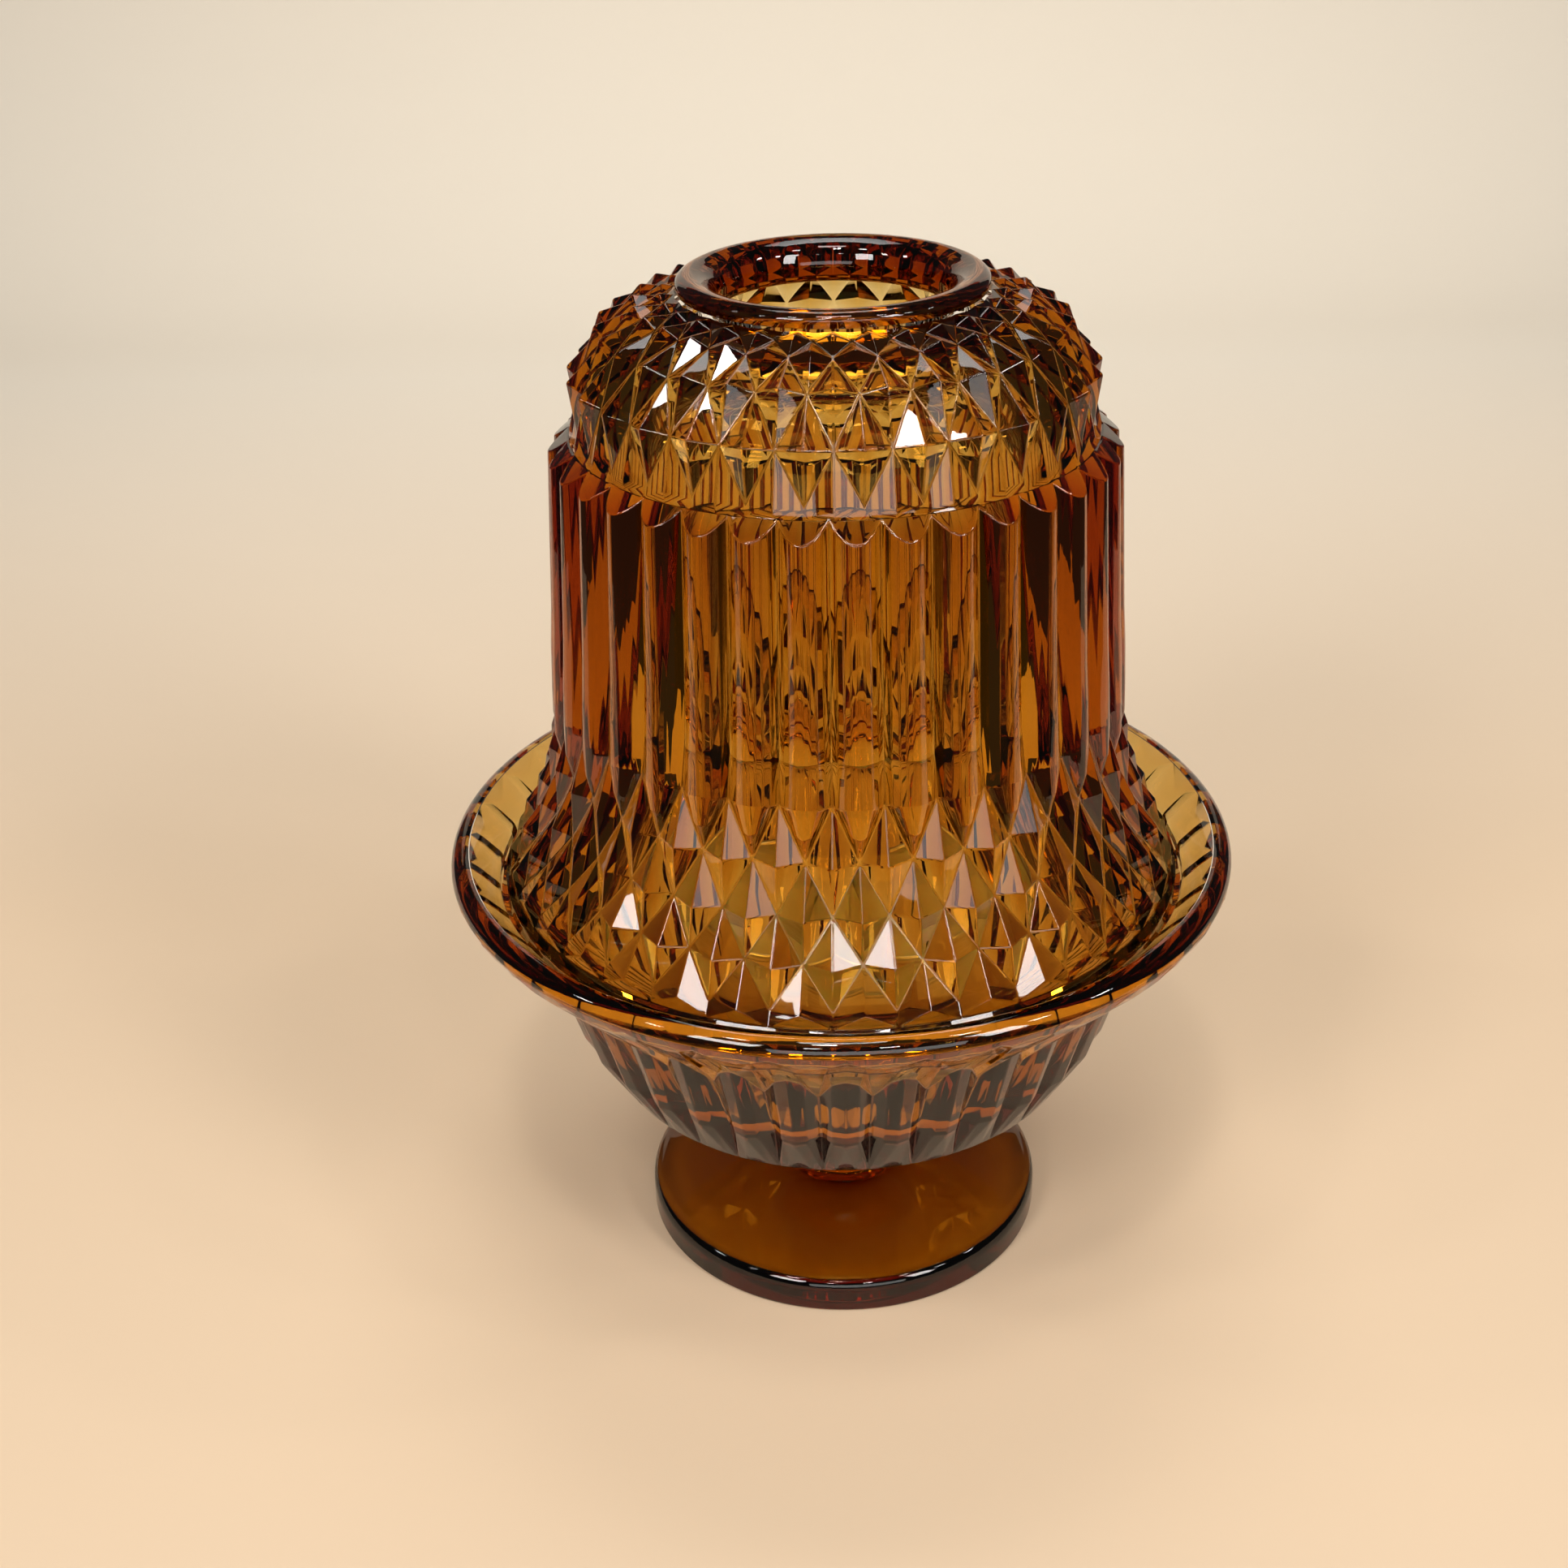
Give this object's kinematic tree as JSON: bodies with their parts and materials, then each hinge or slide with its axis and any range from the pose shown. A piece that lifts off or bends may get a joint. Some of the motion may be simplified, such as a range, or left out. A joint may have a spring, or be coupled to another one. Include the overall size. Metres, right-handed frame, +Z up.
{
  "type": "fairy lamp",
  "caption": "Two-piece pressed-glass fairy lamp: a ribbed and diamond-cut amber dome shade, open at the top, standing inside a footed bowl over a tealight.",
  "frame": {"origin": "centre of the foot's flat underside", "axes": "+Z up along the lamp's axis; -Y is the side that the picture shows, with a bowl rib's crest on -Y"},
  "size_m": [0.13, 0.13, 0.17],
  "materials": {
    "amber_glass": "gloss",
    "cup_metal": "satin",
    "wax": "satin",
    "wick": "matte",
    "tab_metal": "satin"
  },
  "bodies": {
    "base": {"base": "amber_glass"},
    "shade": {"shade": "amber_glass"},
    "candle": {"candle_cup": "cup_metal", "candle_wax": "wax", "candle_wick": "wick", "wick_tab": "tab_metal"}
  },
  "joints": [
    {"name": "shade_lift", "type": "slide", "parent": "base", "child": "shade", "axis": [0, 0, 1], "range_m": [0, 0.12]},
    {"name": "candle_lift", "type": "slide", "parent": "base", "child": "candle", "axis": [0, 0, 1], "range_m": [0, 0.04]}
  ]
}
